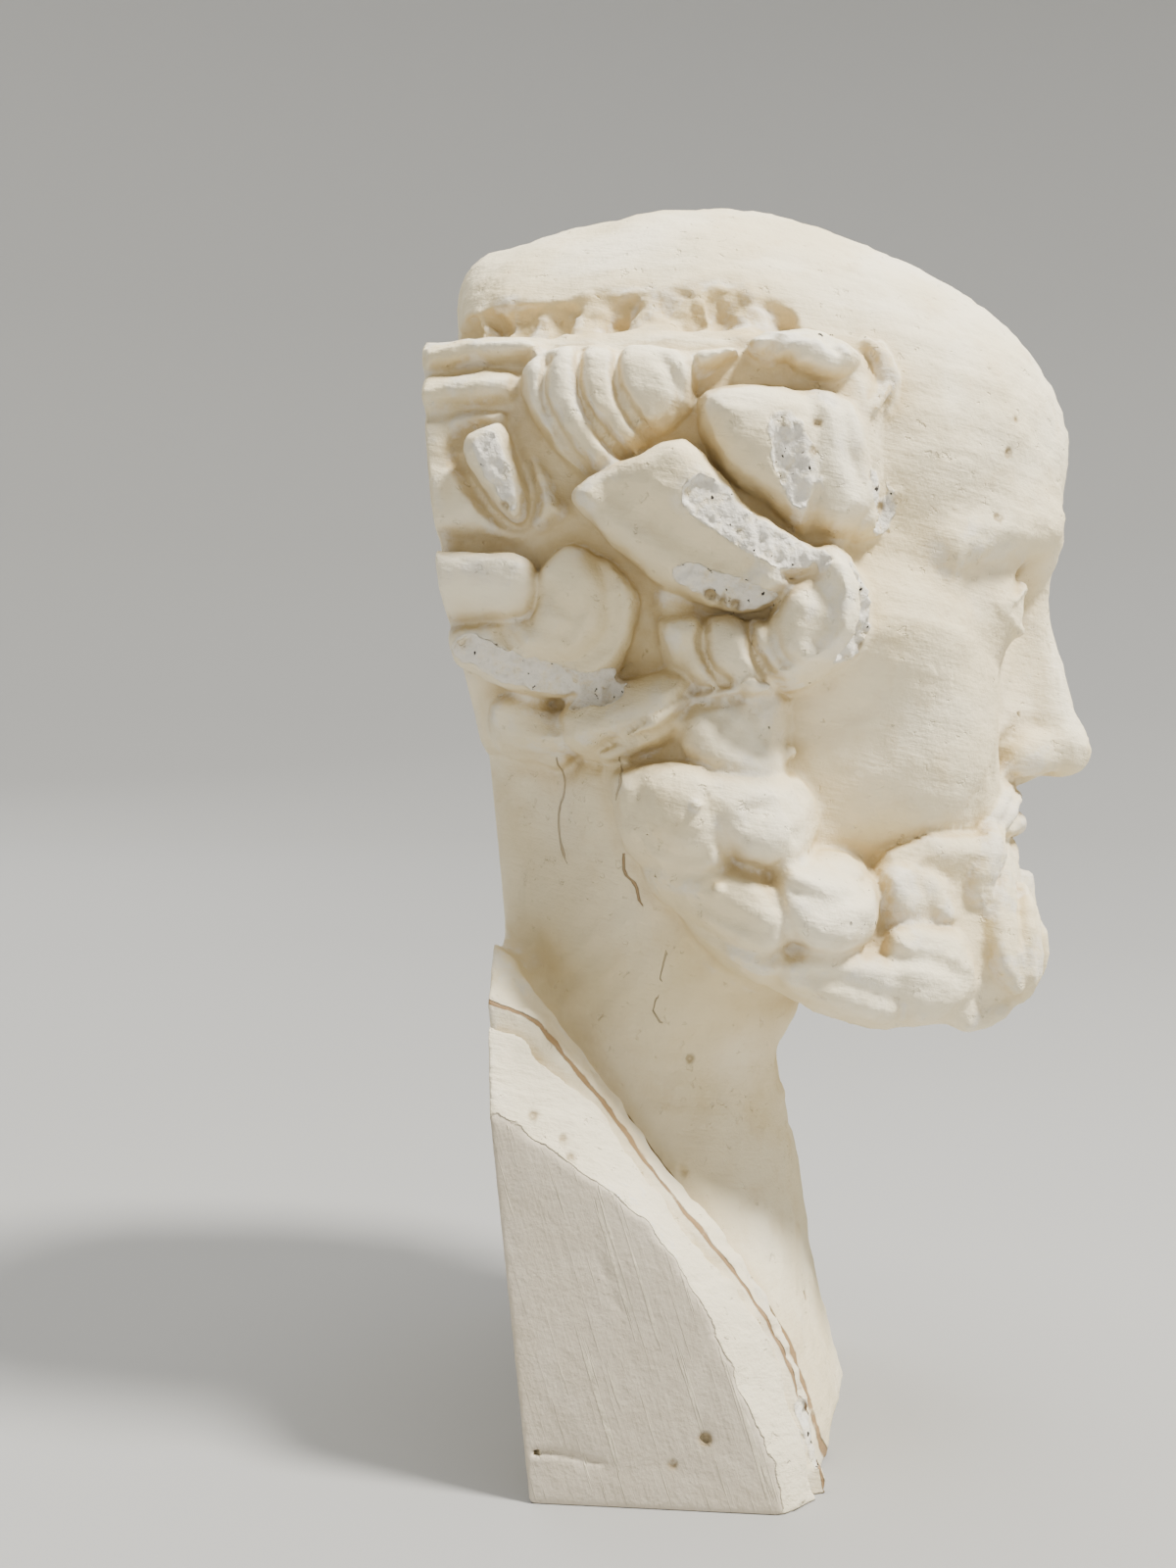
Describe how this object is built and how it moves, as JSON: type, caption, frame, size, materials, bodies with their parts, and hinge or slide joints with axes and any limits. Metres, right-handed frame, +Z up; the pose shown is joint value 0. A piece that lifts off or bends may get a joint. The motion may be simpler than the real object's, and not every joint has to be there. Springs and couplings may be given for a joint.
{
  "type": "plaster bust",
  "caption": "Flat-backed plaster bust of a bearded, balding classical man with deep curls, bowed head and a robe hem, standing on a cut-off block.",
  "frame": {"origin": "middle of the bust's box, at the underside that it stands on", "axes": "+Z up through the crown, -Y the way the face looks, +X to the bust's left"},
  "size_m": [0.1324, 0.1302, 0.2468],
  "materials": {
    "plaster": "matt unglazed plaster, chipped, with dirt in the creases"
  },
  "bodies": {
    "root": {"plaster_bust": "plaster"}
  },
  "joints": []
}
